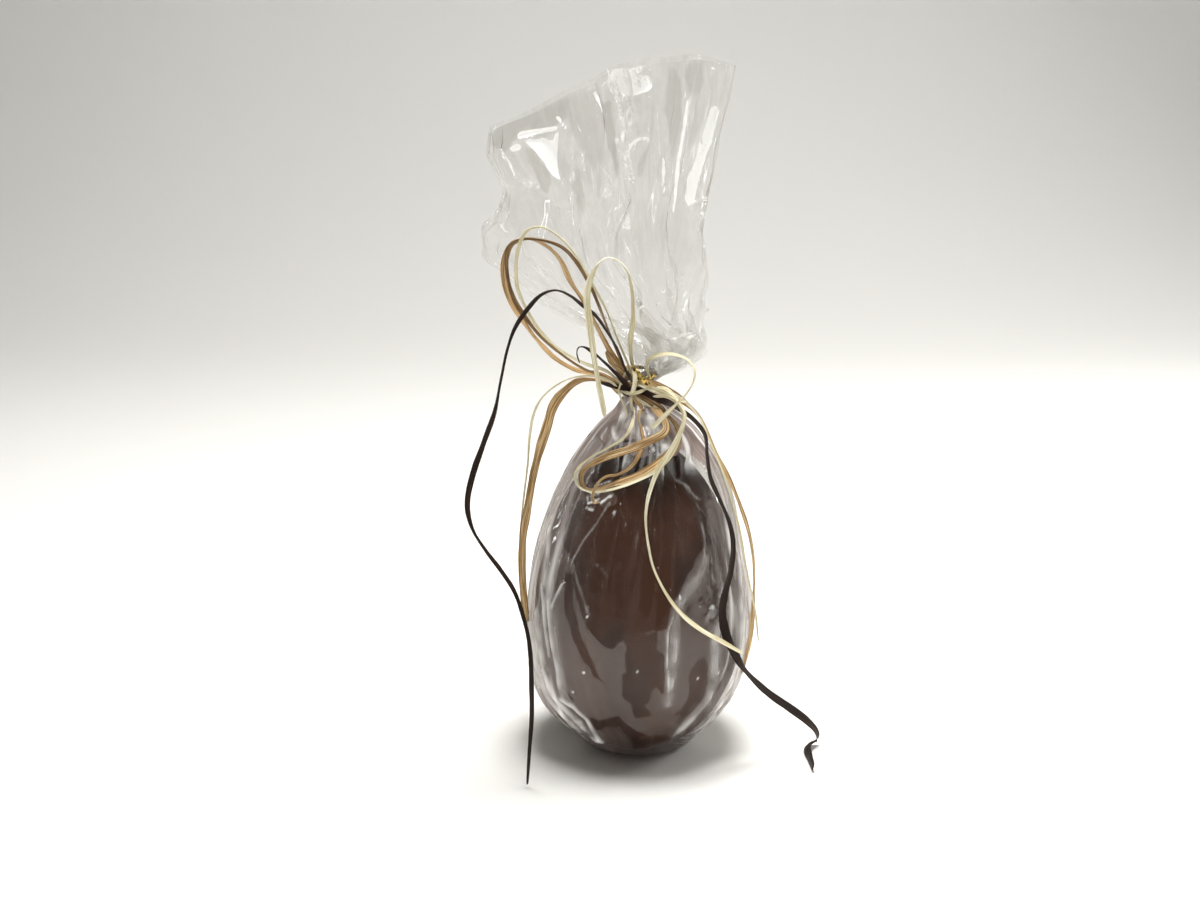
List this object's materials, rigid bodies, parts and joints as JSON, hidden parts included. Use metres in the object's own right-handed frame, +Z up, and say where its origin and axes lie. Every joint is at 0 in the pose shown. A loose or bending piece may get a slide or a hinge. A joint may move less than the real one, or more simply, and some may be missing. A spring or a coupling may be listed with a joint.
{
  "type": "chocolate egg",
  "caption": "Hollow chocolate egg standing in a clear film gift bag, closed above by a gilt twist tie and dressed with raffia loops and tails.",
  "frame": {"origin": "centre of the egg's small flat foot, on the surface it stands on", "axes": "+Z up through the neck of the bag, -Y towards the front where the knot lies, +X to the right seen from the front"},
  "size_m": [0.1503, 0.1009, 0.2945],
  "materials": {
    "bagged_chocolate": "dark chocolate seen through thin clear film",
    "cream_raffia": "dull fibrous ribbon",
    "tan_raffia": "dull fibrous ribbon",
    "brown_raffia": "dull fibrous ribbon",
    "gilt": "thin gilt foil over wire"
  },
  "bodies": {
    "root": {"bag": "bagged_chocolate", "raffia_knot": "cream_raffia", "twist_tie": "gilt", "loop_left_tan": "tan_raffia", "loop_left_brown": "tan_raffia", "loop_left_cream": "cream_raffia", "loop_centre_cream": "cream_raffia", "tail_left_brown": "brown_raffia", "tail_short_brown": "brown_raffia", "tail_left_tan": "tan_raffia", "tail_left_cream": "cream_raffia", "tail_right_tan": "tan_raffia", "tail_right_cream": "cream_raffia", "tail_right_brown": "brown_raffia", "loop_front_tan": "tan_raffia", "loop_front_cream": "cream_raffia", "loop_right_cream": "cream_raffia", "tail_front_cream": "cream_raffia", "curl_tan": "tan_raffia"}
  },
  "joints": []
}
